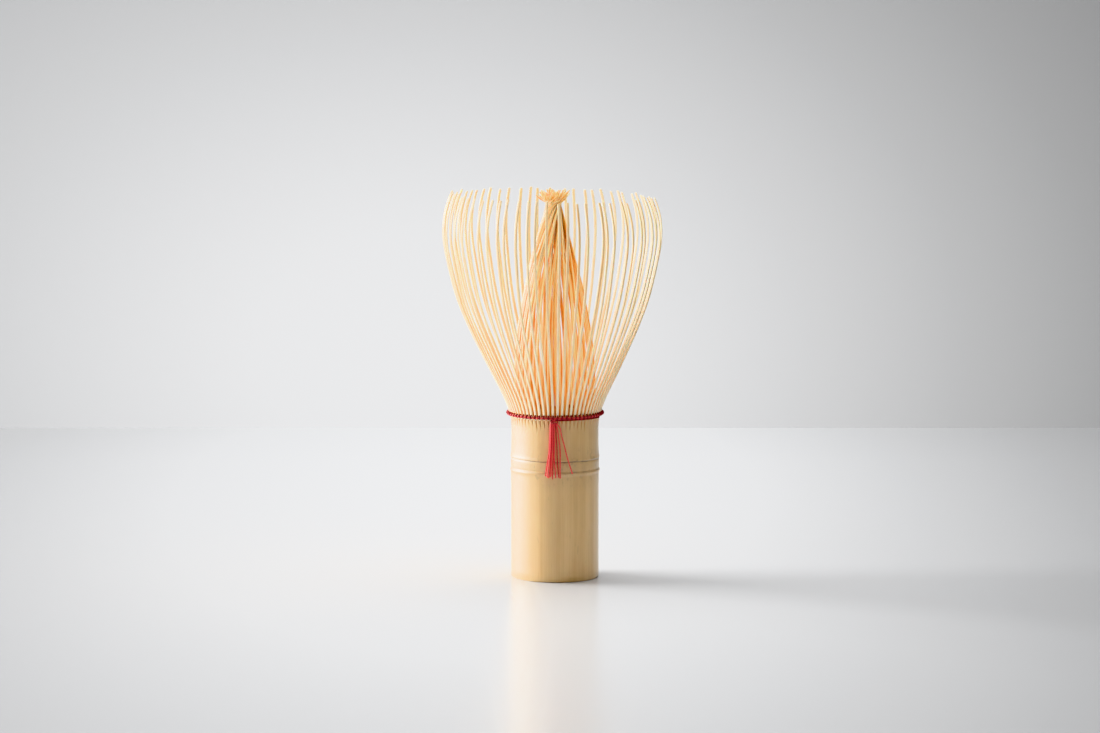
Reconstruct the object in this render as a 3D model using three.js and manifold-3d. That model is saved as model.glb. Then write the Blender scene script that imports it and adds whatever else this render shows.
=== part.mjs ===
// Bamboo tea whisk (chasen). A culm of bamboo is the handle: its wall above the node is split into fine tines. Every
// other tine is bent outwards and thinned, the ones between are drawn inwards and crossed over each other at the
// top, and a red thread laced between the two rows keeps them apart. The thread's ends hang from a knot as a tassel.
//
// Millimetres, +Z up, origin at the centre of the base. The knot and tassel are on the -Y side.
import * as THREE from "three";
import { mergeVertices } from "three/addons/utils/BufferGeometryUtils.js";
import Module from "manifold-3d";

const wasm = await Module();
wasm.setup();

// Driving dimensions
const HANDLE_RADIUS = 12.7;
const WALL_THICKNESS = 3.9;
const NODE_HEIGHT = 33.2; // middle of the culm's node, between its two ridges
const SPLIT_HEIGHT = 43.4; // top of the whole wall, where the splits begin
const LACING_HEIGHT = 48;
const NECK_HEIGHT = 108.3; // where the inner tines cross
const WHISK_HEIGHT = 112;
const HEAD_RADIUS = 31.8; // outside of the outer tines at their widest
const SEGMENTS = 16; // the wall is first split into this many
const TINES_PER_SEGMENT = 4; // outer tines in a segment, and as many inner ones
const THREAD_RADIUS = 0.28;
const STRAND_RADIUS = 0.19;
const GAP = 0.3; // between pieces that touch on the real whisk

const SEGMENT_ANGLE = (2 * Math.PI) / SEGMENTS;
const TINE_ANGLE = SEGMENT_ANGLE / TINES_PER_SEGMENT;
const ROOT_HEIGHT = SPLIT_HEIGHT + GAP; // underside of the tines' root blocks
const ROOT_TOP = ROOT_HEIGHT + 1.2;
const OUTER_ROOT = { inner: 11.7, outer: 12.5 }; // radii of an outer segment's root block
const INNER_ROOT = { inner: 10.3, outer: 11.1 };

const BAMBOO = { color: 0xe3c893, roughness: 0.55, metalness: 0 };
const TINE_OUTER = { color: 0xf3d9a4, roughness: 0.5, metalness: 0 };
const TINE_INNER = { color: 0xe9b979, roughness: 0.5, metalness: 0 };
const RED_THREAD = { color: 0xb3222d, roughness: 0.85, metalness: 0 };

const whisk = new THREE.Group();

function addPiece(name, geometry, finish) {
  const piece = new THREE.Mesh(geometry, new THREE.MeshStandardMaterial(finish));
  piece.name = name;
  whisk.add(piece);
  return piece;
}

// ---- Solids: joining closed geometries ----

function solidOf(geometry) {
  const bare = new THREE.BufferGeometry();
  bare.setAttribute("position", geometry.getAttribute("position"));
  bare.setIndex(geometry.index);
  const merged = mergeVertices(bare, 1e-4);
  return new wasm.Manifold(
    new wasm.Mesh({
      numProp: 3,
      vertProperties: merged.attributes.position.array,
      triVerts: new Uint32Array(merged.index.array),
    }),
  );
}

function geometryOf(solid) {
  const mesh = solid.getMesh();
  const geometry = new THREE.BufferGeometry();
  geometry.setAttribute("position", new THREE.BufferAttribute(mesh.vertProperties, 3));
  geometry.setIndex(new THREE.BufferAttribute(mesh.triVerts, 1));
  geometry.computeVertexNormals();
  return geometry;
}

function joined(geometries) {
  return geometryOf(geometries.map(solidOf).reduce((all, next) => all.add(next)));
}

// A bar of square section whose points are moved by place(across, through, along). across and through run from
// -0.5 to 0.5 over the section, along runs from 0 to 1 up the bar.
function shapedBar(steps, place, stepsAcross = 1) {
  const bar = new THREE.BoxGeometry(1, 1, 1, stepsAcross, 1, steps);
  const points = bar.getAttribute("position");
  for (let i = 0; i < points.count; i++) {
    const moved = place(points.getX(i), points.getY(i), points.getZ(i) + 0.5);
    points.setXYZ(i, moved.x, moved.y, moved.z);
  }
  return bar;
}

// A block that is a short stretch of a ring, from angle - half to angle + half.
function ringBlock({ inner, outer }, bottom, top, angle, half) {
  const place = (across, through, along) => {
    const turn = angle - 2 * half * across; // minus keeps the faces pointing out
    const radius = inner + (through + 0.5) * (outer - inner);
    return new THREE.Vector3(
      radius * Math.cos(turn),
      radius * Math.sin(turn),
      bottom + along * (top - bottom),
    );
  };
  return shapedBar(1, place, 2);
}

// ---- Handle: the culm, with its node and the diaphragm inside it ----

function handleGeometry() {
  const bore = HANDLE_RADIUS - WALL_THICKNESS;
  const upperBore = INNER_ROOT.inner - 0.9; // the wall's soft inside is pared away above the node
  const ridge = HANDLE_RADIUS + 0.35;
  const waist = HANDLE_RADIUS - 0.1;
  const edge = 0.4; // chamfer round the base
  const outside = new THREE.SplineCurve([
    new THREE.Vector2(HANDLE_RADIUS, edge),
    new THREE.Vector2(HANDLE_RADIUS, NODE_HEIGHT - 4.3),
    new THREE.Vector2(HANDLE_RADIUS + 0.05, NODE_HEIGHT - 2.6),
    new THREE.Vector2(ridge, NODE_HEIGHT - 1.6), // sheath scar
    new THREE.Vector2(HANDLE_RADIUS, NODE_HEIGHT - 0.6),
    new THREE.Vector2(HANDLE_RADIUS + 0.1, NODE_HEIGHT + 0.8),
    new THREE.Vector2(ridge - 0.1, NODE_HEIGHT + 1.7), // node ridge
    new THREE.Vector2(waist, NODE_HEIGHT + 4.2),
    new THREE.Vector2(waist - 0.1, SPLIT_HEIGHT),
  ]).getPoints(15);
  const profile = [
    new THREE.Vector2(0, NODE_HEIGHT - 1.5),
    new THREE.Vector2(bore - 1.5, NODE_HEIGHT - 1.9),
    new THREE.Vector2(bore, NODE_HEIGHT - 3.4),
    new THREE.Vector2(bore, edge),
    new THREE.Vector2(bore + edge, 0),
    new THREE.Vector2(HANDLE_RADIUS - edge, 0),
    ...outside,
    new THREE.Vector2(upperBore, SPLIT_HEIGHT),
    new THREE.Vector2(upperBore, NODE_HEIGHT + 3),
    new THREE.Vector2(upperBore - 1.5, NODE_HEIGHT + 1.6),
    new THREE.Vector2(0, NODE_HEIGHT + 1),
  ];
  const culm = new THREE.LatheGeometry(profile, 36);
  culm.rotateX(Math.PI / 2); // the lathe turns about Y, the whisk stands along Z
  return culm;
}

// ---- Outer tines: flared, widest near the top, with tips that curl in ----

const OUTER_LINE = new THREE.SplineCurve([
  new THREE.Vector2(12.05, ROOT_HEIGHT + 0.3),
  new THREE.Vector2(12.85, LACING_HEIGHT),
  new THREE.Vector2(16.2, 56),
  new THREE.Vector2(24.4, 73.5),
  new THREE.Vector2(HEAD_RADIUS - 1.7, 90),
  new THREE.Vector2(HEAD_RADIUS - 0.25, 99.5),
  new THREE.Vector2(HEAD_RADIUS - 0.9, 106.5),
  new THREE.Vector2(HEAD_RADIUS - 2.5, WHISK_HEIGHT),
]);
const OUTER_STEPS = 7;
const OUTER_WIDTH = { root: 0.8, tip: 0.7 };
const OUTER_THICKNESS = { root: 0.65, tip: 0.4 };

function outerTine(angle) {
  const place = (across, through, along) => {
    const line = OUTER_LINE.getPoint(along);
    const run = OUTER_LINE.getTangent(along);
    const sideways = -across * THREE.MathUtils.lerp(OUTER_WIDTH.root, OUTER_WIDTH.tip, along);
    const outwards = through * THREE.MathUtils.lerp(OUTER_THICKNESS.root, OUTER_THICKNESS.tip, along);
    return new THREE.Vector3(
      line.x + outwards * run.y,
      sideways,
      line.y - outwards * run.x,
    ).applyAxisAngle(new THREE.Vector3(0, 0, 1), angle);
  };
  return shapedBar(OUTER_STEPS, place);
}

// ---- Inner tines: a cone that narrows to a neck, where they cross, and opens again at the tips ----

const NECK_RADIUS = 2.1; // of the middle of the outermost tines
const INNER_LINE = new THREE.SplineCurve([
  new THREE.Vector2(10.7, ROOT_HEIGHT + 0.3),
  new THREE.Vector2(10.95, LACING_HEIGHT),
  new THREE.Vector2(11.2, 58),
  new THREE.Vector2(10.3, 73),
  new THREE.Vector2(8.2, 86),
  new THREE.Vector2(5.4, 97),
  new THREE.Vector2(3.1, 104),
  new THREE.Vector2(NECK_RADIUS, NECK_HEIGHT),
  new THREE.Vector2(4.5, WHISK_HEIGHT),
]);
const INNER_STEPS = 10;
const INNER_WIDTH = { root: 0.6, tip: 0.3 };
const INNER_THICKNESS = { root: 0.55, tip: 0.3 };
// Where each of a segment's inner tines sits in the bundle at the neck: its share of the neck's radius, and its
// angle there as a multiple of the one at the root. The middle two lie side by side over the other two.
const NECK_SEAT = [
  { depth: 0.6, spread: 0 },
  { depth: 1, spread: 1.85 },
  { depth: 1, spread: 1.85 },
  { depth: 0.8, spread: 0 },
];

// Seen from above each inner tine runs along a straight line that passes the axis at the neck's radius, so it
// turns about the axis by this angle between a radius and the neck.
function turnFromNeck(radius) {
  return Math.acos(Math.min(1, NECK_RADIUS / radius));
}

function innerTine(segmentAngle, index) {
  const offset = (index - (TINES_PER_SEGMENT - 1) / 2) * TINE_ANGLE;
  const seat = NECK_SEAT[index];
  const rootRadius = INNER_LINE.getPoint(0).x;
  const place = (across, through, along) => {
    const line = INNER_LINE.getPoint(along);
    const closing = THREE.MathUtils.smoothstep(
      (rootRadius - line.x) / (rootRadius - NECK_RADIUS),
      0.25,
      0.95,
    );
    const beyondNeck = line.y > NECK_HEIGHT;
    const gathered = beyondNeck ? 1 : closing; // a tine keeps its seat from the neck to its tip
    const radius = line.x * THREE.MathUtils.lerp(1, seat.depth, gathered);
    const turn =
      (beyondNeck ? 1 : -1) * turnFromNeck(line.x) + turnFromNeck(rootRadius) +
      offset * THREE.MathUtils.lerp(1, seat.spread, gathered);
    const sideways = -across * THREE.MathUtils.lerp(INNER_WIDTH.root, INNER_WIDTH.tip, along);
    const outwards = through * THREE.MathUtils.lerp(INNER_THICKNESS.root, INNER_THICKNESS.tip, along);
    return new THREE.Vector3(radius + outwards, sideways, line.y).applyAxisAngle(
      new THREE.Vector3(0, 0, 1),
      segmentAngle + turn,
    );
  };
  return shapedBar(INNER_STEPS, place);
}

// ---- Lacing: one round of thread inside the outer tines and one outside, pulled tight together ----

const INSIDE_ROUND = 11.85; // radii of the two rounds
const OUTSIDE_ROUND = 13.74;

function threadRing(radius) {
  const ring = new THREE.TorusGeometry(radius, THREAD_RADIUS, 5, 48);
  ring.translate(0, 0, LACING_HEIGHT);
  return ring;
}

// ---- Knot and tassel ----

const KNOT = new THREE.Vector3(-0.4, -13.65, LACING_HEIGHT - 1.15);
const KNOT_RADIUS = 0.5;
const KNOT_WIDTH = 2.3;

function knotGeometry() {
  const knot = new THREE.SphereGeometry(KNOT_RADIUS, 10, 8);
  knot.rotateZ(Math.PI / 2);
  knot.scale(KNOT_WIDTH / 2 / KNOT_RADIUS, 1, 1);
  return knot;
}

// The strands hang in two layers, both measured from the knot: where each leaves it, where it ends, and how far
// it bows sideways halfway down.
const BACK_LAYER = 0.12;
const FRONT_LAYER = -0.36;
const STRANDS = [
  { layer: BACK_LAYER, from: -1.0, to: -2.5, bow: 0.2, length: 15.3 },
  { layer: FRONT_LAYER, from: -0.75, to: -2.0, bow: 0.25, length: 15.6 },
  { layer: BACK_LAYER, from: -0.5, to: -1.5, bow: 0.3, length: 15.9 },
  { layer: FRONT_LAYER, from: -0.25, to: -0.95, bow: 0.2, length: 15.5 },
  { layer: BACK_LAYER, from: 0.0, to: -0.4, bow: 0.15, length: 16.2 },
  { layer: FRONT_LAYER, from: 0.25, to: 0.45, bow: 0.1, length: 15.8 },
  { layer: BACK_LAYER, from: 0.5, to: 1.4, bow: 0.3, length: 15.7 },
  { layer: FRONT_LAYER, from: 0.75, to: 1.85, bow: 0.35, length: 15.9 },
  { layer: BACK_LAYER, from: 1.0, to: 5.4, bow: 0.5, length: 14.6 },
];

function strandGeometry({ layer, from, to, bow, length }) {
  const start = KNOT_RADIUS + 1.2 * GAP;
  const route = new THREE.CatmullRomCurve3([
    new THREE.Vector3(from, layer, -start),
    new THREE.Vector3(from + 0.2 * (to - from) + bow / 2, layer, -start - 0.3 * length),
    new THREE.Vector3(from + 0.5 * (to - from) + bow, layer, -start - 0.6 * length),
    new THREE.Vector3(to, layer, -start - length),
  ]);
  const section = new THREE.Shape().absarc(0, 0, STRAND_RADIUS, 0, 2 * Math.PI);
  return new THREE.ExtrudeGeometry(section, { steps: 6, curveSegments: 3, extrudePath: route });
}

// ---- Assembly ----

addPiece("handle", handleGeometry(), BAMBOO);

for (let s = 0; s < SEGMENTS; s++) {
  const number = String(s + 1).padStart(2, "0");
  const middle = s * SEGMENT_ANGLE;
  const half = SEGMENT_ANGLE / 2 - GAP / 2 / OUTER_ROOT.inner;
  const places = [...Array(TINES_PER_SEGMENT).keys()];
  const outer = places.map((k) =>
    outerTine(middle + (k - (TINES_PER_SEGMENT - 1) / 2) * TINE_ANGLE),
  );
  const inner = places.map((k) => innerTine(middle, k));
  addPiece(
    "outer_tines_" + number,
    joined([ringBlock(OUTER_ROOT, ROOT_HEIGHT, ROOT_TOP, middle, half), ...outer]),
    TINE_OUTER,
  );
  addPiece(
    "inner_tines_" + number,
    joined([ringBlock(INNER_ROOT, ROOT_HEIGHT, ROOT_TOP, middle, half), ...inner]),
    TINE_INNER,
  );
}

addPiece("lacing_inner_round", threadRing(INSIDE_ROUND), RED_THREAD);
addPiece("lacing_outer_round", threadRing(OUTSIDE_ROUND), RED_THREAD);

addPiece("knot", knotGeometry(), RED_THREAD).position.copy(KNOT);
STRANDS.forEach((strand, i) => {
  addPiece("tassel_strand_" + (i + 1), strandGeometry(strand), RED_THREAD).position.copy(KNOT);
});

export default whisk;
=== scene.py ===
import math
import random

import bmesh
import bpy
import numpy as np
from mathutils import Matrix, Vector


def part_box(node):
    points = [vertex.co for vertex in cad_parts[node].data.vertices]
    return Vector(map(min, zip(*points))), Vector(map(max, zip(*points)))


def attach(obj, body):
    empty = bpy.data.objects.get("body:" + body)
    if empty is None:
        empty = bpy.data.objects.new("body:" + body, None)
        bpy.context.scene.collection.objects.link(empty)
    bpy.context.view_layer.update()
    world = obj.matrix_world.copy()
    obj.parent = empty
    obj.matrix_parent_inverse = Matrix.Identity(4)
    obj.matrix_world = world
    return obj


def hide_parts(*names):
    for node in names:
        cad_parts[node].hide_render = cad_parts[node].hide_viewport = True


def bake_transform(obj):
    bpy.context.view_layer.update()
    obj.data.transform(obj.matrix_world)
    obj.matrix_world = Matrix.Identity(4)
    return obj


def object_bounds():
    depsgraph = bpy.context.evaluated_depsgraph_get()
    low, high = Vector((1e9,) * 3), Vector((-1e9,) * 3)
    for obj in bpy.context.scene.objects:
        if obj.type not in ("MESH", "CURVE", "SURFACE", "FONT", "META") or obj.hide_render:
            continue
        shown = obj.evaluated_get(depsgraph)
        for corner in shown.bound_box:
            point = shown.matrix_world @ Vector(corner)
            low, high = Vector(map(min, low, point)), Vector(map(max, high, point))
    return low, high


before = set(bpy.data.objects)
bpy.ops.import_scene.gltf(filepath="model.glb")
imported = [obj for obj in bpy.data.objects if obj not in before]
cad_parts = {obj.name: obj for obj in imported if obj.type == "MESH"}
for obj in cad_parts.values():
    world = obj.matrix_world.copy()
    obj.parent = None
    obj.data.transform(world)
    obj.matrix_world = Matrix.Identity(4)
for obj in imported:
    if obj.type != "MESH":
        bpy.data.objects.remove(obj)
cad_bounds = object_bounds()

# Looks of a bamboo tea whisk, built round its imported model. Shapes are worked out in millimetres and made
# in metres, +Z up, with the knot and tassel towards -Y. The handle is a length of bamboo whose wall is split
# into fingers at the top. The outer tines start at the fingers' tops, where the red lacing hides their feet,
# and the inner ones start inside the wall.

MM = 0.001
rng = random.Random(7)


def box_mm(node):
    """Lowest and highest corner of a CAD node, in millimetres."""
    low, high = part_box(node)
    return np.array(low) / MM, np.array(high) / MM


_, handle_high = box_mm("handle")
outside_low, outside_high = box_mm("lacing_outer_round")
_, inside_high = box_mm("lacing_inner_round")
knot_low, knot_high = box_mm("knot")
whisk_high = np.array(cad_bounds[1]) / MM

SEGMENTS = sum(name.startswith("outer_tines_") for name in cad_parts)
TINES_PER_SEGMENT = 4
TINES = SEGMENTS * TINES_PER_SEGMENT
TINE_ANGLE = 2 * math.pi / TINES

RIDGE = 0.35  # how far the node's ridges stand out from the handle
HANDLE_RADIUS = handle_high[0] - RIDGE
UPPER_SCAR = 35.1  # heights of the two lines round the node
LOWER_SCAR = 31.85
SPLIT_HEIGHT = handle_high[2]
THREAD_RADIUS = (outside_high[2] - outside_low[2]) / 2
LACING_HEIGHT = (outside_high[2] + outside_low[2]) / 2
OUTSIDE_ROUND = outside_high[0] - THREAD_RADIUS
INSIDE_ROUND = inside_high[0] - THREAD_RADIUS
HEAD_RADIUS = whisk_high[0]
WHISK_HEIGHT = whisk_high[2]
NECK_HEIGHT = WHISK_HEIGHT - 3.6
KNOT = (knot_low + knot_high) / 2
FRONT = -math.pi / 2  # the knot's angle round the axis
OUTER_LEAN = -0.8  # how far the tops of the outer and inner tines stand to the side of the handle's axis
INNER_LEAN = -0.45
LEAN_RISE = 36  # how far above the lacing the lean is complete


# ---- Curves and surfaces ----


def spline(points, shares):
    """A smooth curve through points, at shares of its length from 0 to 1."""
    points = np.asarray(points, float)
    at = np.clip(np.asarray(shares, float), 0, 1) * (len(points) - 1)
    start = np.minimum(at.astype(int), len(points) - 2)
    t = (at - start)[:, None]
    before = points[np.maximum(start - 1, 0)]
    a = points[start]
    b = points[start + 1]
    after = points[np.minimum(start + 2, len(points) - 1)]
    square = (2 * before - 5 * a + 4 * b - after) * t**2
    cube = (3 * a - before - 3 * b + after) * t**3
    return 0.5 * (2 * a + (b - before) * t + square + cube)


def smoothstep(low, high, value):
    t = np.clip((np.asarray(value, float) - low) / (high - low), 0, 1)
    return t * t * (3 - 2 * t)


def unit(vectors):
    return vectors / np.maximum(np.linalg.norm(vectors, axis=-1, keepdims=True), 1e-12)


def ring_point(radius, angle, height):
    """Points given by their distance from the whisk's axis, their angle round it and their height."""
    radius, angle, height = np.broadcast_arrays(radius, angle, height)
    return np.stack([radius * np.cos(angle), radius * np.sin(angle), height], axis=-1)


def leant(path, lean):
    """The path with the head's lean to the side, which starts at the lacing."""
    path = path.copy()
    path[..., 0] += lean * smoothstep(LACING_HEIGHT, LACING_HEIGHT + LEAN_RISE, path[..., 2])
    return path


class Surface:
    """Points and faces of one piece, in millimetres, with a shade from 0 to 1 at each point; in places it is
    painted shade.
    """

    def __init__(self):
        self.points = []
        self.faces = []
        self.shades = []

    def add_rings(self, rings, shade, looped=False):
        """Skins a row of rings of points. The first and last are closed over, or joined if it is looped."""
        rings = np.asarray(rings, float)
        rows, count = rings.shape[:2]
        first = len(self.points)
        self.points.extend(rings.reshape(-1, 3))
        self.shades.extend(np.broadcast_to(shade, (rows, count)).reshape(-1))
        for row in range(rows if looped else rows - 1):
            here = first + row * count
            there = first + (row + 1) % rows * count
            for i in range(count):
                j = (i + 1) % count
                self.faces.append((here + i, here + j, there + j, there + i))
        if not looped:
            self.faces.append(tuple(first + i for i in reversed(range(count))))
            self.faces.append(tuple(first + (rows - 1) * count + i for i in range(count)))

    def piece(self, name, material, slot, nodes, sharp_angle=40):
        """Makes the object, which stands for the CAD nodes."""
        mesh = bpy.data.meshes.new(name)
        mesh.from_pydata((np.array(self.points) * MM).tolist(), [], self.faces)
        shade = mesh.attributes.new("shade", "FLOAT", "POINT")
        shade.data.foreach_set("value", np.array(self.shades, np.float32))
        edit = bmesh.new()
        edit.from_mesh(mesh)
        bmesh.ops.recalc_face_normals(edit, faces=edit.faces)
        edit.to_mesh(mesh)
        edit.free()
        mesh.shade_smooth()
        mesh.set_sharp_from_angle(angle=math.radians(sharp_angle))
        mesh.materials.append(material)
        made = bpy.data.objects.new(name, mesh)
        bpy.context.scene.collection.objects.link(made)
        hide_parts(*nodes)
        return made


def bar_rings(path, outward, widths, thicknesses, section):
    """Rings of a bar along a path.

    section holds the (across, through) points of its outline, and outward says which way through points.
    """
    along = unit(np.gradient(path, axis=0))
    side = unit(np.cross(along, outward))
    out = np.cross(side, along)
    across = section[None, :, 0, None] * np.reshape(widths, (-1, 1, 1)) * side[:, None, :]
    through = section[None, :, 1, None] * np.reshape(thicknesses, (-1, 1, 1)) * out[:, None, :]
    return path[:, None, :] + across + through


def lengths_along(path):
    steps = np.linalg.norm(np.diff(path, axis=0), axis=1)
    return np.concatenate([[0], np.cumsum(steps)])


def evenly(path, spacing):
    """The path's points laid again at an even spacing."""
    length = lengths_along(path)
    count = max(4, int(length[-1] / spacing) + 1)
    at = np.linspace(0, length[-1], count)
    return np.stack([np.interp(at, length, path[:, k]) for k in range(3)], axis=1)


PLIES = 3
PLY_SIDES = 6
PLY_STEPS = 9  # rings in one turn of the twist
TURN_LENGTH = 4.2  # of one turn of the twist, in radii of the thread
PLY_RADIUS = 0.52  # in radii of the thread
PLY_CONTRAST = 0.12  # difference in shade from one ply to the next


def add_thread(surface, path, outward, radius, looped=False, shade=0.5, dip_painted_shade=0.0):
    """Lays a twisted thread of three plies along the path. outward(points) says which way is out from it.

    Its last argument gives painted shade where the whipping pulls the thread in.
    """
    pitch = TURN_LENGTH * radius
    path = evenly(path, pitch / PLY_STEPS)
    total = lengths_along(path)
    turns = total / pitch
    if looped:
        turns = turns * round(turns[-1]) / turns[-1]
        path = path[:-1]
        turns = turns[:-1]
        ahead = np.roll(path, -1, axis=0) - np.roll(path, 1, axis=0)
    else:
        ahead = np.gradient(path, axis=0)
    # Painted shade where the whipping pulls the thread in
    shades = shade + dip_painted_shade * np.cos(TINES * np.arctan2(path[:, 1], path[:, 0]))
    along = unit(ahead)
    out = outward(path)
    side = unit(np.cross(along, out))
    out = np.cross(side, along)
    around = np.arange(PLY_SIDES) * 2 * math.pi / PLY_SIDES + 0.3
    ply_radius = PLY_RADIUS * radius
    for ply in range(PLIES):
        twist = 2 * math.pi * (turns + ply / PLIES)
        from_middle = np.cos(twist)[:, None] * side + np.sin(twist)[:, None] * out
        middle = path + (radius - ply_radius) * from_middle
        rings = (
            middle[:, None, :]
            + ply_radius * np.cos(around)[None, :, None] * side[:, None, :]
            + ply_radius * np.sin(around)[None, :, None] * out[:, None, :]
        )
        surface.add_rings(rings, shades[:, None] + PLY_CONTRAST * (ply - 1), looped)


# ---- Materials ----


class Finish:
    """A material whose nodes are added one by one."""

    def __init__(self, name):
        self.material = bpy.data.materials.new(name)
        self.material.use_nodes = True
        self.tree = self.material.node_tree
        self.shader = self.tree.nodes["Principled BSDF"]
        self.place = self.add("ShaderNodeTexCoord").outputs["Object"]

    def add(self, kind, **settings):
        node = self.tree.nodes.new(kind)
        for name, value in settings.items():
            setattr(node, name, value)
        return node

    def join(self, source, target):
        self.tree.links.new(source, target)

    def give(self, socket, value):
        """Sets a socket of the shader to a value, or joins another node's output to it."""
        target = self.shader.inputs[socket]
        if isinstance(value, bpy.types.NodeSocket):
            self.join(value, target)
        else:
            target.default_value = value

    def noise(self, scale, detail, roughness=0.55):
        """Noise from 0 to 1. scale is how many features there are in a metre along x, y and z."""
        mapping = self.add("ShaderNodeMapping")
        mapping.inputs["Scale"].default_value = scale
        self.join(self.place, mapping.inputs["Vector"])
        noise = self.add("ShaderNodeTexNoise")
        noise.inputs["Scale"].default_value = 1.0
        noise.inputs["Detail"].default_value = detail
        noise.inputs["Roughness"].default_value = roughness
        self.join(mapping.outputs["Vector"], noise.inputs["Vector"])
        return noise.outputs["Fac"]

    def remap(self, value, low, high, new_low=0.0, new_high=1.0):
        node = self.add("ShaderNodeMapRange")
        node.inputs["From Min"].default_value = low
        node.inputs["From Max"].default_value = high
        node.inputs["To Min"].default_value = new_low
        node.inputs["To Max"].default_value = new_high
        self.join(value, node.inputs["Value"])
        return node.outputs["Result"]

    def math(self, operation, a, b=None):
        node = self.add("ShaderNodeMath", operation=operation)
        for socket, value in zip(node.inputs, (a, b)):
            if value is None:
                continue
            if isinstance(value, (int, float)):
                socket.default_value = value
            else:
                self.join(value, socket)
        return node.outputs["Value"]

    def total(self, *terms):
        """The sum of some sockets' values, given as (socket, weight) pairs."""
        result = None
        for socket, weight in terms:
            part = self.math("MULTIPLY", socket, weight)
            result = part if result is None else self.math("ADD", result, part)
        return result

    def mix(self, factor, a, b):
        """Colour a turned towards colour b. Each is a socket or three numbers."""
        node = self.add("ShaderNodeMix", data_type="RGBA")
        sockets = (node.inputs[0], node.inputs[6], node.inputs[7])  # factor and the two colours
        for socket, value in zip(sockets, (factor, a, b)):
            if isinstance(value, (int, float)):
                socket.default_value = value
            elif isinstance(value, tuple):
                socket.default_value = (*value, 1.0)
            else:
                self.join(value, socket)
        return node.outputs[2]

    def shade(self):
        """The shade stored at the piece's points: its tone, and in places painted shade."""
        return self.add("ShaderNodeAttribute", attribute_name="shade").outputs["Fac"]

    def place_along(self, axis):
        """The point's X, Y or Z, in metres."""
        split = self.add("ShaderNodeSeparateXYZ")
        self.join(self.place, split.inputs["Vector"])
        return split.outputs[axis]

    def bump(self, value, distance, strength):
        node = self.add("ShaderNodeBump")
        node.inputs["Strength"].default_value = strength
        node.inputs["Distance"].default_value = distance
        self.join(value, node.inputs["Height"])
        self.give("Normal", node.outputs["Normal"])


SPECK_BROWN = (0.22, 0.13, 0.06)
NODE_BROWN = (0.50, 0.33, 0.15)
BLOTCH_BROWN = (0.36, 0.24, 0.12)
SCAR_BROWN = (0.16, 0.09, 0.045)
SLIT_ORANGE_AND_SHADE = (0.78, 0.36, 0.12)


def bamboo(name, dark, light, roughness, specks=0.0):
    """A bamboo material with its fibres running up the whisk, and its colour's socket."""
    finish = Finish(name)
    broad = finish.noise((420, 420, 9), detail=2)
    fibres = finish.noise((2600, 2600, 45), detail=4, roughness=0.65)
    patches = finish.noise((160, 160, 55), detail=3)
    tone = finish.total((broad, 0.45), (fibres, 0.4), (patches, 0.35), (finish.shade(), 0.6))
    colour = finish.mix(finish.remap(tone, 0.6, 1.2), dark, light)
    if specks:
        dashes = finish.noise((1500, 1500, 260), detail=1)
        colour = finish.mix(finish.remap(dashes, 0.70, 0.78, 0.0, specks), colour, SPECK_BROWN)
    finish.give("Base Color", colour)
    finish.give("Roughness", finish.remap(fibres, 0.3, 0.7, roughness - 0.07, roughness + 0.1))
    finish.bump(fibres, 0.00006, 0.6)
    return finish, colour


def let_light_through(finish, weight, depth, spread=(1.0, 0.75, 0.5)):
    """Thin bamboo glows orange where light comes through it.

    depth is how far red light goes, in millimetres, and spread how far each colour goes beside it.
    """
    finish.give("Specular IOR Level", 0.5)
    finish.give("Subsurface Weight", weight)
    finish.give("Subsurface Radius", spread)
    finish.give("Subsurface Scale", depth * MM)
    return finish.material


def culm_finish():
    """The handle's skin: dried, satin, with brown scars in the node's two lines."""
    finish, colour = bamboo("bamboo_skin", (0.565, 0.325, 0.103), (0.84, 0.60, 0.292), 0.46, specks=0.2)
    wobble = finish.remap(finish.noise((260, 260, 90), detail=2), 0, 1, -0.00035, 0.00035)
    height = finish.math("ADD", finish.place_along("Z"), wobble)
    strength = finish.remap(finish.noise((330, 330, 30), detail=3), 0.35, 0.62, 0.5, 1.0)
    from_node = finish.math("ABSOLUTE", finish.math("SUBTRACT", height, (UPPER_SCAR + LOWER_SCAR) / 2 * MM))
    near_node = finish.remap(from_node, 0.001, 0.0075, 0.6, 0.0)
    colour = finish.mix(finish.math("MULTIPLY", near_node, strength), colour, NODE_BROWN)
    blotches = finish.remap(finish.noise((1100, 1100, 800), detail=3), 0.56, 0.66, 0.0, 0.5)
    blotches = finish.math("MULTIPLY", blotches, finish.remap(from_node, 0.002, 0.0065, 1.0, 0.0))
    colour = finish.mix(blotches, colour, BLOTCH_BROWN)
    # The slits' bottoms are painted dark orange: partly the cut fibres' own colour, partly painted shade in
    # the slits.
    split = finish.remap(finish.shade(), 0.4, 0.05, 0.0, 0.85)
    colour = finish.mix(split, colour, SLIT_ORANGE_AND_SHADE)
    for middle, half_width, depth in ((UPPER_SCAR, 0.34, 0.95), (LOWER_SCAR, 0.4, 0.45)):
        distance = finish.math("ABSOLUTE", finish.math("SUBTRACT", height, middle * MM))
        line = finish.remap(distance, 0.0, half_width * MM, depth, 0.0)
        colour = finish.mix(finish.math("MULTIPLY", line, strength), colour, SCAR_BROWN)
    finish.give("Base Color", colour)
    finish.give("Coat Weight", 1.0)
    finish.give("Coat IOR", 1.75)
    finish.give("Coat Roughness", 0.42)
    finish.give("Sheen Weight", 0.7)
    finish.give("Sheen Roughness", 0.35)
    return let_light_through(finish, 0.3, 2.5, spread=(1.0, 0.55, 0.25))


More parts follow.
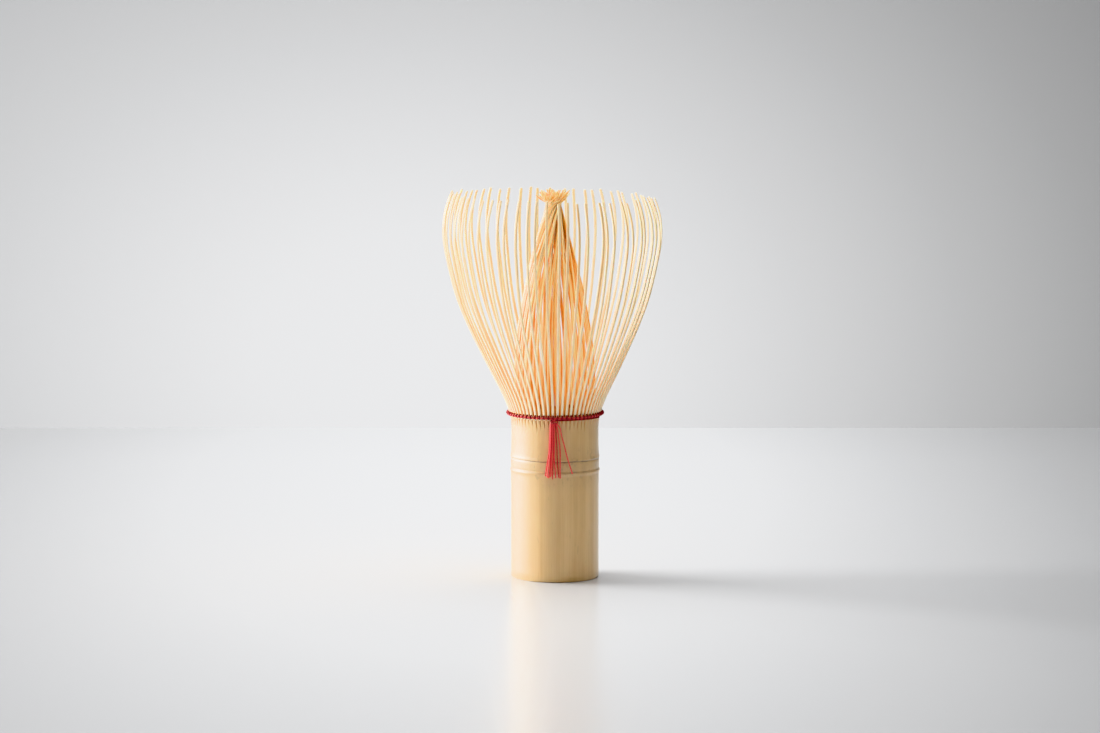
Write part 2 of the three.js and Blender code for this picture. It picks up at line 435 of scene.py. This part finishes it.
def cut_end_finish():
    """The sawn end of the culm and its bore: pale pith with the dark ends of the fibre bundles."""
    finish = Finish("bamboo_cut")
    cells = finish.add("ShaderNodeTexVoronoi")
    cells.inputs["Scale"].default_value = 1900.0
    finish.join(finish.place, cells.inputs["Vector"])
    dots = finish.remap(cells.outputs["Distance"], 0.12, 0.34, 0.75, 0.0)
    patches = finish.noise((300, 300, 120), detail=3)
    pith = finish.mix(patches, (0.62, 0.45, 0.25), (0.78, 0.62, 0.40))
    colour = finish.mix(dots, pith, (0.33, 0.20, 0.09))
    finish.give("Base Color", colour)
    finish.give("Roughness", 0.8)
    finish.bump(cells.outputs["Distance"], 0.0001, 0.5)
    return finish.material


def thread_finish():
    """Dyed cotton thread. Its pieces' stored shade darkens it, and on the lacing and the back strands that is
    painted shade.
    """
    finish = Finish("red_cotton")
    fuzz = finish.noise((5200, 5200, 5200), detail=4, roughness=0.7)
    patches = finish.noise((900, 900, 900), detail=2)
    tone = finish.total((fuzz, 0.5), (patches, 0.3), (finish.shade(), 0.9))
    colour = finish.mix(finish.remap(tone, 0.45, 1.25), (0.23, 0.010, 0.018), (0.92, 0.145, 0.15))
    finish.give("Base Color", colour)
    finish.give("Roughness", finish.remap(fuzz, 0.3, 0.7, 0.7, 0.95))
    finish.give("Sheen Weight", 0.25)
    finish.give("Sheen Roughness", 0.5)
    finish.give("Specular IOR Level", 0.25)
    finish.bump(fuzz, 0.00005, 0.8)
    return finish.material


# ---- Handle ----

BORE_RADIUS = HANDLE_RADIUS - 3.9
UPPER_BORE_RADIUS = 9.4  # above the node, where the wall has been pared
FINGER_TOP = LACING_HEIGHT + 0.1
SLIT_HALF_WIDTH = 0.29  # at the lacing
CRACK_HALF_WIDTH = 0.05  # at the foot of a slit
COLUMNS_PER_FINGER = 6  # the slit's bottom, the finger's edge, three on its front and its other edge
FINGER_EDGES = (1, 5)
COLUMNS = TINES * COLUMNS_PER_FINGER
CROWN = 0.09  # how much the fingers' fronts are rounded
FOOT_ROUND = 0.4  # radius of the handle's bottom edge
SLIT_REACH = 11  # the rows outside this radius follow the slits
RIM_EDGE = 12.3  # outside this radius is the rim, where the slits' bottoms are further in already
RIM_BOTTOM = 12.1
DIAPHRAGM_MIDDLE = 4  # inside this radius the diaphragm is smooth
RIM_ROWS = 7  # the inner rows that look like skin

OUTER_HEIGHTS = np.concatenate(
    [
        [0.0, 0.1, 0.4],
        np.linspace(2.5, LOWER_SCAR - 3.5, 12),
        np.arange(LOWER_SCAR - 2.8, UPPER_SCAR + 2, 0.2),
        np.linspace(UPPER_SCAR + 2.2, SPLIT_HEIGHT - 0.5, 9),
        np.linspace(SPLIT_HEIGHT, FINGER_TOP - 0.25, 24),
        [FINGER_TOP - 0.08, FINGER_TOP],
    ]
)
INNER_ROWS = [  # radius and height of each row after the outside, over the rim and down the upper bore
    (12.9, FINGER_TOP + 0.05),
    (12.55, FINGER_TOP + 0.05),
    (12.35, FINGER_TOP - 0.08),
    (12.2, SPLIT_HEIGHT + 3.6),
    (11.9, SPLIT_HEIGHT + 2.2),
    (11.6, SPLIT_HEIGHT + 0.9),
    (11.45, SPLIT_HEIGHT + 0.35),
    (11.2, SPLIT_HEIGHT + 0.1),
    (10.3, SPLIT_HEIGHT),
    (UPPER_BORE_RADIUS, SPLIT_HEIGHT),
    (UPPER_BORE_RADIUS, UPPER_SCAR + 6),
    (UPPER_BORE_RADIUS, UPPER_SCAR + 3.5),
    (UPPER_BORE_RADIUS, UPPER_SCAR + 1.4),
    (UPPER_BORE_RADIUS - 0.5, UPPER_SCAR + 0.4),
    (UPPER_BORE_RADIUS - 1.5, UPPER_SCAR - 0.3),
    (5.5, UPPER_SCAR - 0.7),
    (3.0, UPPER_SCAR - 0.85),
    (0.8, UPPER_SCAR - 0.9),
]
BOTTOM_ROWS = [  # from the bore's ceiling down to the cut end, before the outside
    (0.8, LOWER_SCAR - 0.15),
    (3.0, LOWER_SCAR - 0.2),
    (5.5, LOWER_SCAR - 0.3),
    (BORE_RADIUS - 1.5, LOWER_SCAR - 0.6),
    (BORE_RADIUS - 0.5, LOWER_SCAR - 1.2),
    (BORE_RADIUS, LOWER_SCAR - 2.3),
    *((BORE_RADIUS, height) for height in (24.0, 18.0, 12.0, 6.0, 1.5, 0.4)),
    (BORE_RADIUS + 0.12, 0.1),
    *((BORE_RADIUS + across, 0.0) for across in (0.4, 1.2, 2.0, 2.8)),
]
# The handle's outline: how far it stands out from its radius at some heights
OUTLINE_HEIGHTS = [0, 26, 30.3, 31.1, 32.3, 34.1, 37.5, 39.5, 43.4, 45.0, 46.4, 47.4, 48.4]
OUTLINE = [0, 0, 0.06, 0.1, 0.05, 0.12, -0.02, -0.08, -0.1, -0.06, 0.1, 0.32, 0.5]


def waves(count, size):
    """A random function of the angle that meets itself after a turn."""
    parts = [(k, rng.uniform(-1, 1) * size / k**0.7, rng.uniform(0, 6.28)) for k in range(1, count + 1)]
    return lambda angle: sum(height * np.cos(k * angle + phase) for k, height, phase in parts)


def bell(value, half_width):
    """A rounded peak of height 1 at value 0."""
    return np.exp(-((value / half_width) ** 2))


def handle_piece():
    """The culm as a row of rings: down the bore, over the cut end, up the outside and down the upper bore."""
    # Heights of the slits' feet. One in each segment reaches lower than the others.
    starts = np.array(
        [
            LACING_HEIGHT - 3.1 + rng.uniform(-0.6, 0.5) - (0.55 if j % TINES_PER_SEGMENT == 0 else 0.0)
            for j in range(TINES)
        ]
    )
    ripple = waves(9, 0.03)
    scar_wobble = waves(7, 0.07)
    ridge_strength = waves(5, 0.16)
    bore_ripple = waves(14, 0.09)

    def slit(height):
        """Half width and depth of each slit at a height."""
        rise = height - starts
        widening = np.clip(rise / (LACING_HEIGHT - starts), 0, 1)
        half = CRACK_HALF_WIDTH + (SLIT_HALF_WIDTH - CRACK_HALF_WIDTH) * widening**0.8
        depth = 0.1 * smoothstep(-1.1, -0.2, rise) + 0.24 * smoothstep(-0.25, 0.9, rise)
        return half, depth

    def angles(height):
        """The columns' angles at a height: the slits widen upwards, and the columns between them close up."""
        half, _ = slit(height)
        share = half / (TINE_ANGLE * (HANDLE_RADIUS + 0.2))
        row = []
        for j in range(TINES):
            left = share[j]
            right = share[(j + 1) % TINES]
            inside = left + (1 - left - right) * np.array([0.25, 0.5, 0.75])
            row.extend(j + s for s in (0.0, left, *inside, 1 - right))
        return (np.array(row) - 0.5) * TINE_ANGLE

    def outside_radius(height, angle):
        shape = np.interp(height, OUTLINE_HEIGHTS, OUTLINE) + HANDLE_RADIUS
        strength = 1 + ridge_strength(angle)
        wobble = scar_wobble(angle)
        above_lower = height - (LOWER_SCAR - 0.25) - wobble
        above_upper = height - (UPPER_SCAR + 0.3) - 0.8 * wobble
        shape = shape + 0.2 * strength * bell(above_lower, 0.5)
        shape = shape - 0.13 * bell(above_lower - 0.55, 0.22)
        shape = shape + 0.13 * strength * bell(above_upper, 0.6)
        shape = shape - 0.2 * bell(above_upper + 0.42, 0.17)
        oval = 0.05 * np.cos(2 * angle + 1) + 0.03 * np.cos(3 * angle + 2)
        return shape + oval + ripple(angle)

    rings = []
    shades = []
    for radius, height in BOTTOM_ROWS:
        angle = angles(0.0)
        rough = bore_ripple(angle + 0.05 * height) if radius > DIAPHRAGM_MIDDLE and height > 0.05 else 0.0
        rings.append(ring_point(radius + rough, angle, height))
        shades.append(np.full(COLUMNS, 0.5))
    for height in OUTER_HEIGHTS:
        angle = angles(height)
        radius = outside_radius(height, angle)
        radius = radius - FOOT_ROUND * (1 - smoothstep(0, FOOT_ROUND, height)) ** 2
        _, depth = slit(height)
        radius[::COLUMNS_PER_FINGER] -= depth
        for edge in FINGER_EDGES:
            radius[edge::COLUMNS_PER_FINGER] -= CROWN * smoothstep(LACING_HEIGHT - 3, LACING_HEIGHT, height)
        rings.append(ring_point(radius, angle, height))
        shade = np.full(COLUMNS, 0.5)
        # Painted shade at the slits' bottoms, darker where a slit is deeper
        shade[::COLUMNS_PER_FINGER] -= 1.5 * depth
        shades.append(shade)
    for radius, height in INNER_ROWS:
        angle = angles(min(height, FINGER_TOP) if radius > SLIT_REACH else 0.0)
        radii = np.full(COLUMNS, float(radius))
        if radius > RIM_EDGE:
            radii[::COLUMNS_PER_FINGER] = RIM_BOTTOM + 0.2 * (radius - RIM_EDGE)
        elif radius > SLIT_REACH:
            radii[::COLUMNS_PER_FINGER] -= 0.1
        elif radius > DIAPHRAGM_MIDDLE:
            radii = radii + bore_ripple(angle + 1.0) * 0.6
        rings.append(ring_point(radii, angle, height))
        shades.append(np.full(COLUMNS, 0.5))

    surface = Surface()
    surface.add_rings(np.array(rings), np.array(shades))
    piece = surface.piece("culm", culm_finish(), "bamboo_culm", ["handle"], sharp_angle=48)
    piece.data.materials.append(cut_end_finish())
    skin_start = len(BOTTOM_ROWS)
    skin_end = skin_start + len(OUTER_HEIGHTS) + RIM_ROWS
    for face in piece.data.polygons:
        first_row = min(vertex // COLUMNS for vertex in face.vertices)
        if not skin_start <= first_row < skin_end:
            face.material_index = 1
    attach(piece, "whisk")


handle_piece()


# ---- Outer tines ----

# The middle of a tine, as shares of its rise from the lacing and of its flare from there to the head's radius
OUTER_LINE = [
    (-0.012, -0.005),
    (0.03, 0.03),
    (0.09, 0.115),
    (0.17, 0.25),
    (0.27, 0.415),
    (0.40, 0.62),
    (0.53, 0.79),
    (0.66, 0.905),
    (0.79, 0.985),
    (0.89, 0.975),
    (0.96, 0.915),
    (1.0, 0.86),
]
TINE_SECTION = np.array(
    [
        (-0.5, -0.25),
        (-0.32, -0.5),
        (0.32, -0.5),
        (0.5, -0.25),
        (0.49, 0.15),
        (0.3, 0.44),
        (0.0, 0.54),
        (-0.3, 0.44),
        (-0.49, 0.15),
    ]
)
# The sides' lower values are partly the shaved faces' own tone and partly painted shade between close tines
SECTION_SHADES = np.array([-0.5, -0.15, -0.15, -0.5, -0.45, 0.2, 0.4, 0.2, -0.45])  # palest on the outer face
OUTER_STEPS = 40
OUTER_FOOT = OUTSIDE_ROUND - 0.81  # radius of the tines' middle at the lacing
OUTER_REACH = HEAD_RADIUS - 0.3 - OUTER_FOOT  # how far out they flare from there
OUTER_WIDTH = 0.84
OUTER_THICKNESS = 0.62  # at the foot
OUTER_THINNING = 0.26  # how much thinner it is at the tip
RIGHT_TIPS_LOWER = 1.3  # how much lower the tips end on the right than on the left
FARTHEST_STRAY = 2.1  # degrees that a tine may stray round the axis


def outer_tine_rings(angle):
    """Rings and shades of one tine, whose line strays a little from the others'.

    Its outer face is paler than its sides at the base, where the sides' darkness is partly painted shade in
    the gaps between the tines, and darker than them towards the tip.
    """
    share = np.linspace(0, 1, OUTER_STEPS)
    rise, flare = spline(OUTER_LINE, share).T
    right = 0.5 + 0.5 * math.cos(angle)
    top = WHISK_HEIGHT - LACING_HEIGHT + rng.uniform(-0.7, 0.3) - RIGHT_TIPS_LOWER * right
    free = smoothstep(0.05, 1.0, share)
    radius = OUTER_FOOT + OUTER_REACH * flare + rng.gauss(0, 0.28) * free + rng.gauss(0, 0.35) * free**3
    height = LACING_HEIGHT + top * rise
    strays = rng.gauss(0, 1.15) * free + rng.gauss(0, 0.5) * np.sin(math.pi * share) * free
    turn = angle + np.radians(np.clip(strays, -FARTHEST_STRAY, FARTHEST_STRAY))
    path = leant(ring_point(radius, turn, height), OUTER_LEAN)
    outward = ring_point(1.0, turn, 0.0)
    widths = OUTER_WIDTH * (1 - 0.08 * share) * rng.uniform(0.92, 1.06)
    thicknesses = OUTER_THICKNESS - OUTER_THINNING * share**0.8
    widths[-1] *= 0.8
    thicknesses[-1] *= 0.7
    upper = smoothstep(0.12, 0.7, share)[:, None]
    # The sides' darkness at the base is partly painted shade in the gaps between the tines
    shade = rng.uniform(0.4, 0.7) + 0.1 * upper + (1.8 - 2.5 * upper) * SECTION_SHADES
    return bar_rings(path, outward, widths, thicknesses, TINE_SECTION), shade


outer_bamboo, _ = bamboo("bamboo_outer", (0.965, 0.642, 0.33), (1.0, 0.877, 0.65), 0.32)
outer_finish = let_light_through(outer_bamboo, 0.3, 0.7)

for segment in range(SEGMENTS):
    number = f"{segment + 1:02d}"
    surface = Surface()
    for k in range(TINES_PER_SEGMENT):
        tine = segment * TINES_PER_SEGMENT + k - (TINES_PER_SEGMENT - 1) / 2
        surface.add_rings(*outer_tine_rings(tine * TINE_ANGLE))
    name = "outer_tines_shaved_" + number
    tines = surface.piece(name, outer_finish, "bamboo_outer_tine", ["outer_tines_" + number])
    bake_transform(tines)


# ---- Inner tines ----

NECK_RADIUS = 2.0
# The middle of a tine: its distance from the axis and its height
INNER_LINE = [
    (10.6, SPLIT_HEIGHT - 0.2),
    (10.95, LACING_HEIGHT),
    (11.5, 56),
    (11.5, 63),
    (11.0, 70),
    (9.8, 77.5),
    (8.1, 86),
    (6.5, 93),
    (4.5, 100),
    (3.0, 104.7),
    (NECK_RADIUS, NECK_HEIGHT),
    (2.9, NECK_HEIGHT + 1.5),
    (4.7, WHISK_HEIGHT + 0.1),
]
# Where each of a segment's tines sits in the bundle at the neck: its share of the neck's radius, and its
# angle in degrees
NECK_SEATS = [(0.46, 7.0), (1.0, 0.0), (0.82, 11.0), (0.64, 3.5)]
INNER_STEPS = 56
INNER_WIDTH = 0.74
INNER_WIDENING = 0.18  # how much wider it is at the neck
INNER_THICKNESS = 0.46
INNER_THINNING = 0.14
ROLL = 34.0  # degrees that each tine is turned about its own line at the neck


def turn_from_neck(radius):
    """Seen from above a tine runs straight past the axis, so it turns about it by this angle."""
    return np.arccos(np.minimum(1, NECK_RADIUS / radius))


def inner_tine_rings(segment, index):
    """Rings and shades of one tine, which crosses the others at the neck and splays out above it."""
    share = np.linspace(0, 1, INNER_STEPS)
    radius, height = spline(INNER_LINE, share).T
    depth, seat_angle = NECK_SEATS[index]
    depth = depth + rng.gauss(0, 0.03)
    seat_angle = math.radians(seat_angle + rng.gauss(0, 2.5))
    offset = (index - (TINES_PER_SEGMENT - 1) / 2) * TINE_ANGLE
    root_radius = radius[0]
    beyond = height > NECK_HEIGHT
    closing = smoothstep(0.25, 0.95, (root_radius - radius) / (root_radius - NECK_RADIUS))
    gathered = np.where(beyond, 1.0, closing)
    turn = np.where(beyond, 1, -1) * turn_from_neck(radius) + turn_from_neck(root_radius)
    turn = turn + offset * (1 - gathered) + seat_angle * gathered
    loose = np.sin(math.pi * np.clip((height - LACING_HEIGHT) / (NECK_HEIGHT - LACING_HEIGHT), 0, 1))
    radius = radius * (1 + (depth - 1) * gathered) - abs(rng.gauss(0, 0.3)) * loose
    turn = turn + np.radians(rng.gauss(0, 1.6)) * loose
    splay = smoothstep(NECK_HEIGHT, WHISK_HEIGHT, height)
    radius = radius + rng.gauss(0, 0.5) * splay
    turn = turn + np.radians(rng.gauss(0, 14)) * splay
    height = height + rng.uniform(-1.0, 0.75) * splay
    # Painted shade: their sides are darker where they lie close together below the neck, and all of them are
    # darker near the lacing, where little light gets in
    contrast = (1.0 + 1.3 * smoothstep(84, 102, height)) * (1 - 0.7 * splay)
    shade = rng.uniform(0.1, 0.8) + 0.35 * splay - 0.35 * smoothstep(62, 50, height)
    shade = shade[:, None] + contrast[:, None] * SECTION_SHADES
    path = leant(ring_point(radius, turn + segment * TINES_PER_SEGMENT * TINE_ANGLE, height), INNER_LEAN)
    centre = leant(ring_point(0.0, 0.0, height), INNER_LEAN)
    outward = unit(path - centre)
    around = np.cross([0.0, 0.0, 1.0], outward)
    roll = math.radians(ROLL + rng.gauss(0, 10)) * smoothstep(62, 95, height)[:, None]
    outward = np.cos(roll) * outward + np.sin(roll) * around
    widths = INNER_WIDTH + INNER_WIDENING * smoothstep(0.4, 0.85, share) - 0.5 * splay
    widths = widths * rng.uniform(0.88, 1.08)
    thicknesses = INNER_THICKNESS - INNER_THINNING * share
    widths[-1] *= 0.7
    thicknesses[-1] *= 0.7
    return bar_rings(path, outward, widths, thicknesses, TINE_SECTION), shade


inner_bamboo, _ = bamboo("bamboo_inner", (0.97, 0.437, 0.10), (1.0, 0.82, 0.49), 0.30)
inner_finish = let_light_through(inner_bamboo, 0.4, 0.85)

for segment in range(SEGMENTS):
    number = f"{segment + 1:02d}"
    surface = Surface()
    for k in range(TINES_PER_SEGMENT):
        surface.add_rings(*inner_tine_rings(segment, k))
    name = "inner_tines_shaved_" + number
    tines = surface.piece(name, inner_finish, "bamboo_inner_tine", ["inner_tines_" + number])
    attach(tines, "whisk")


# ---- Lacing, knot and tassel ----

red_cotton = thread_finish()
OUTSIDE_THREAD = 0.34  # the thread's radius in each place
SECOND_THREAD = 0.3
INSIDE_THREAD = 0.25
WHIPPING_THREAD = 0.27
OUTSIDE_DIP = 0.26  # half the depth of the dips that the whipping pulls into each round
SECOND_DIP = 0.07
SECOND_ROUND_END = 1.35  # how far round from the knot the second round goes, in radians
WHIPPING_STEPS = 24  # points in one turn round the two rounds
WHIPPING_RISE = 0.5  # how far a turn goes above and below its middle


def from_axis(path):
    return unit(path * (1, 1, 0))


def lacing_rounds():
    """The round outside the tines, which the whipping pulls in at each tine, and a second one by the knot."""
    surface = Surface()
    angle = np.linspace(0, 2 * math.pi, 1400)
    dips = np.cos(angle * TINES)
    path = ring_point(OUTSIDE_ROUND - 0.16 + OUTSIDE_DIP * dips, angle, LACING_HEIGHT - 0.1 + 0.04 * dips)
    # Painted shade: this round is darker than the tassel's strands, and darker still where the whipping pulls
    # it in
    add_thread(surface, path, from_axis, OUTSIDE_THREAD, looped=True, shade=0.36, dip_painted_shade=0.34)
    angle = np.linspace(FRONT - 0.1, FRONT + SECOND_ROUND_END, 300)
    dips = np.cos(angle * TINES)
    tucked = smoothstep(SECOND_ROUND_END - 0.2, SECOND_ROUND_END, angle - FRONT)
    radius = OUTSIDE_ROUND - 0.15 + SECOND_DIP * dips - 0.8 * tucked
    path = ring_point(radius, angle, LACING_HEIGHT - 0.62 + 0.3 * tucked)
    # Painted shade: the second round is darker than the first
    add_thread(surface, path, from_axis, SECOND_THREAD, shade=0.1, dip_painted_shade=0.15)
    return surface.piece("lacing_outside", red_cotton, "red_thread", ["lacing_outer_round"])


def lacing_whipping():
    """The round inside the tines and the thread that whips both rounds together, a turn for each tine."""
    angle = np.linspace(0, 2 * math.pi, 700)
    surface = Surface()
    path = ring_point(INSIDE_ROUND + 0.05, angle, LACING_HEIGHT + 0.2)
    # Painted shade: the round inside the tines is dark
    add_thread(surface, path, from_axis, INSIDE_THREAD, looped=True, shade=0.1)
    at = np.arange(TINES * WHIPPING_STEPS + 1) / WHIPPING_STEPS
    whole = np.floor(at)
    part = at - whole
    across = smoothstep(0.5, 1.0, part)  # it moves on to the next place on the inside
    angle = (whole + across - 0.5) * TINE_ANGLE
    turn = math.pi / 2 - 2 * math.pi * part
    middle = (OUTSIDE_ROUND + INSIDE_ROUND) / 2 + 0.15
    reach = (OUTSIDE_ROUND - INSIDE_ROUND) / 2 + 0.1
    height = LACING_HEIGHT + 0.12 + WHIPPING_RISE * np.sin(turn)
    path = ring_point(middle + reach * np.cos(turn), angle, height)

    def from_rounds(points):
        flat = unit(points * (1, 1, 0)) * middle
        return unit(points - flat - np.array([0, 0, LACING_HEIGHT]))

    # Painted shade: the whipping, down between the tines, is dark
    add_thread(surface, path, from_rounds, WHIPPING_THREAD, shade=0.08)
    return surface.piece("lacing_whipping", red_cotton, "red_thread", ["lacing_inner_round"])


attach(lacing_rounds(), "whisk")
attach(lacing_whipping(), "whisk")


KNOT_THREAD = 0.22
KNOT_WIDTH = 0.36  # a third of how far its thread reaches sideways
KNOT_DEPTH = 0.3
KNOT_FLATNESS = 0.62  # its height as a share of its width


def knot_piece():
    """An overhand knot, drawn tight round the strands' tops."""
    t = np.linspace(0, 2 * math.pi, 400)
    bulge = KNOT_WIDTH * (2 + np.cos(3 * t))
    across = bulge * np.cos(2 * t)
    upwards = KNOT_FLATNESS * bulge * np.sin(2 * t)
    path = KNOT + np.stack([across, KNOT_DEPTH * np.sin(3 * t), upwards], axis=1)

    def from_knot(points):
        return unit(points - KNOT + np.array([0, 1e-3, 0]))

    surface = Surface()
    add_thread(surface, path, from_knot, KNOT_THREAD, looped=True)
    return surface.piece("knot_tied", red_cotton, "red_thread", ["knot"])


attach(knot_piece(), "knot")

BACK_LAYER = 0.12  # how far behind the knot's middle the strands hang
FRONT_LAYER = -0.36
STRAND_SHARES = [0.0, 0.09, 0.28, 0.6, 1.0]
# Each strand's layer, its place sideways at these shares of its length, and its length
STRANDS = [
    (BACK_LAYER, (-0.9, -1.05, -1.15, -1.5, -2.45), 15.3),
    (FRONT_LAYER, (-0.8, -0.9, -0.95, -1.15, -1.95), 15.6),
    (BACK_LAYER, (-0.5, -0.6, -0.65, -0.85, -1.45), 15.9),
    (FRONT_LAYER, (-0.35, -0.4, -0.4, -0.55, -0.95), 15.5),
    (BACK_LAYER, (0.0, -0.1, -0.1, -0.15, -0.4), 16.2),
    (FRONT_LAYER, (0.1, 0.1, 0.15, 0.15, 0.5), 15.8),
    (BACK_LAYER, (0.35, 0.55, 0.75, 0.95, 1.4), 15.7),
    (FRONT_LAYER, (0.6, 0.95, 1.45, 1.85, 1.8), 15.9),
    (FRONT_LAYER, (0.8, 1.75, 2.4, 3.6, 5.3), 14.6),
]
STRAND_RADIUS = 0.2
STRAND_TOP = -0.35  # from the knot's middle
FIBRES = 7  # at each frayed end
FIBRE_RADIUS = 0.035


def strand_piece(number, layer, places, length):
    """A thread end that hangs from the knot and has frayed where it was cut."""
    surface = Surface()
    route = [(x, layer, STRAND_TOP - share * length) for x, share in zip(places, STRAND_SHARES)]
    share = np.linspace(0, 1, 120)
    path = KNOT + spline(route, share)
    ripple = rng.uniform(0, 6.28)  # it waves a little, more towards its end
    path[:, 0] += 0.05 * np.sin(share * 17 + ripple) * share
    path[:, 1] += 0.04 * np.sin(share * 13 + 2 * ripple) * share

    def outward(points):
        return np.broadcast_to(np.array([0.0, -1.0, 0.0]), points.shape)

    # Painted shade: the strands of the back layer are darker than those in front
    shade = rng.uniform(0.8, 1.15) if layer == FRONT_LAYER else rng.uniform(0.5, 0.85)
    add_thread(surface, path, outward, STRAND_RADIUS, shade=shade)
    section = np.array([(math.cos(a), math.sin(a)) for a in np.arange(4) * math.pi / 2])
    for _ in range(FIBRES):
        spread = np.array([rng.gauss(0, 0.28), rng.gauss(0, 0.12), 0])
        down = np.array([0, 0, -rng.uniform(0.3, 0.8)])
        root = path[-6] + np.array([rng.uniform(-0.08, 0.08), rng.uniform(-0.08, 0.08), 0])
        fibre_share = np.linspace(0, 1, 6)
        hair = spline([root, root + 0.5 * down + 0.25 * spread, root + down + spread], fibre_share)
        size = FIBRE_RADIUS * (1 - 0.6 * fibre_share)
        surface.add_rings(bar_rings(hair, outward(hair), size, size, section), rng.uniform(0.7, 1.1))
    name = "strand_twisted_" + str(number)
    return surface.piece(name, red_cotton, "red_thread", ["tassel_strand_" + str(number)])


for number, strand in enumerate(STRANDS, 1):
    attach(strand_piece(number, *strand), "tassel")


# ---- Stage, light and camera ----


STAGE_EDGE = 0.3  # how light the stage is far from its middle
TABLE_BACK = 0.345
TABLE_ROUND = 0.02  # radius of the table's back edge
BACKDROP_PLACE = 1.15  # it stands far behind the whisk; it stands behind where the other views' camera goes
STAGE_HALF_WIDTH = 4.0  # of the table and the backdrop
DAYLIGHT = (1.0, 0.99, 0.975)
LIGHT_AIM = (0.0, 0.0, 0.05)  # on the axis, beside the lacing
CAMERA_PLACE = (-0.0015, -1.205, 0.195)
CAMERA_AIM = (-0.0015, 0.0, 0.06145)


def studio_finish(name, colour, roughness, centre, falloff, back_shade=0.0):
    """A stage colour that darkens away from centre, as studio paper does out of its pool of light: a painted
    pool of light.

    falloff says how fast along x, y and z.
    back_shade says how much painted shade darkens it at the table's back edge.
    """
    finish = Finish(name)
    # Painted pool of light: the colour fades away from centre to STAGE_EDGE of itself
    place = finish.add("ShaderNodeMapping")
    place.inputs["Location"].default_value = [-c * f for c, f in zip(centre, falloff)]
    place.inputs["Scale"].default_value = falloff
    finish.join(finish.place, place.inputs["Vector"])
    distance = finish.add("ShaderNodeVectorMath", operation="LENGTH")
    finish.join(place.outputs["Vector"], distance.inputs[0])
    square = finish.math("POWER", distance.outputs["Value"], 2.0)
    pool = finish.math("EXPONENT", finish.math("MULTIPLY", square, -1.0))
    edge = tuple(STAGE_EDGE * c for c in colour)
    colour = finish.mix(pool, edge, colour)
    if back_shade:
        # Painted shade along the table's back edge
        shaded = finish.remap(finish.place_along("Y"), TABLE_BACK - 0.09, TABLE_BACK, 0.0, back_shade)
        colour = finish.mix(shaded, colour, (0.0, 0.0, 0.0))
    finish.give("Base Color", colour)
    finish.give("Roughness", roughness)
    finish.give("Specular IOR Level", 0.2)
    return finish.material


def sweep(name, profile, material):
    """A sheet that follows a profile of (y, z) points across the whole view."""
    points = []
    for y, z in profile:
        points.extend([(-STAGE_HALF_WIDTH, y, z), (STAGE_HALF_WIDTH, y, z)])
    faces = [(2 * i, 2 * i + 1, 2 * i + 3, 2 * i + 2) for i in range(len(profile) - 1)]
    mesh = bpy.data.meshes.new(name)
    mesh.from_pydata(points, [], faces)
    mesh.shade_smooth()
    mesh.materials.append(material)
    made = bpy.data.objects.new(name, mesh)
    bpy.context.scene.collection.objects.link(made)


table = [(-3.0, 0.0)]
for angle in np.linspace(0, math.pi / 2, 9):
    table.append((TABLE_BACK + TABLE_ROUND * math.sin(angle), TABLE_ROUND * (math.cos(angle) - 1)))
table.append((TABLE_BACK + TABLE_ROUND, -0.3))
table_white = studio_finish(
    "table_white",
    colour=(0.557, 0.567, 0.585),
    roughness=0.28,
    centre=(-0.005, 0.15, 0),
    falloff=(5.2, 1.45, 0),
    back_shade=0.03,
)
sweep("table_top", table, table_white)
backdrop_white = studio_finish(
    "backdrop_white",
    colour=(0.589, 0.60, 0.621),
    roughness=0.9,
    centre=(-0.01, 0, -0.08),
    falloff=(2.9, 0, 3.6),
)
sweep("backdrop", [(BACKDROP_PLACE, -1.0), (BACKDROP_PLACE, 2.0)], backdrop_white)


def aimed(place, aim):
    """The rotation of a light or camera at place that faces aim."""
    return (Vector(aim) - Vector(place)).to_track_quat("-Z", "Y").to_euler()


def area_light(name, place, aim, width, height, power, colour=(1, 1, 1)):
    """A soft light that the camera doesn't see, with its size in metres and its power in watts."""
    light = bpy.data.lights.new(name, "AREA")
    light.shape = "RECTANGLE"
    light.size = width
    light.size_y = height
    light.energy = power
    light.color = colour
    made = bpy.data.objects.new(name, light)
    made.visible_camera = False
    made.location = place
    made.rotation_euler = aimed(place, aim)
    bpy.context.scene.collection.objects.link(made)


area_light("window", (-1.87, 0.45, 0.48), LIGHT_AIM, width=1.2, height=0.92, power=126, colour=DAYLIGHT)
area_light("window_side", (-1.2, 0.9, 0.21), LIGHT_AIM, width=0.6, height=0.36, power=14, colour=DAYLIGHT)
area_light("overhead", (0.0, 0.55, 1.6), (0.0, 0.1, 0.0), width=1.5, height=1.2, power=25)

world = bpy.data.worlds.new("studio")
world.use_nodes = True
background = world.node_tree.nodes["Background"]
background.inputs["Color"].default_value = (1.03, 1.0, 0.95, 1)
background.inputs["Strength"].default_value = 0.53
bpy.context.scene.world = world
bpy.context.scene.view_settings.view_transform = "Khronos PBR Neutral"

camera = bpy.data.objects.new("camera", bpy.data.cameras.new("camera"))
camera.location = CAMERA_PLACE
camera.rotation_euler = aimed(camera.location, CAMERA_AIM)
camera.data.sensor_width = 36
camera.data.lens = 136.8
bpy.context.scene.collection.objects.link(camera)
bpy.context.scene.camera = camera
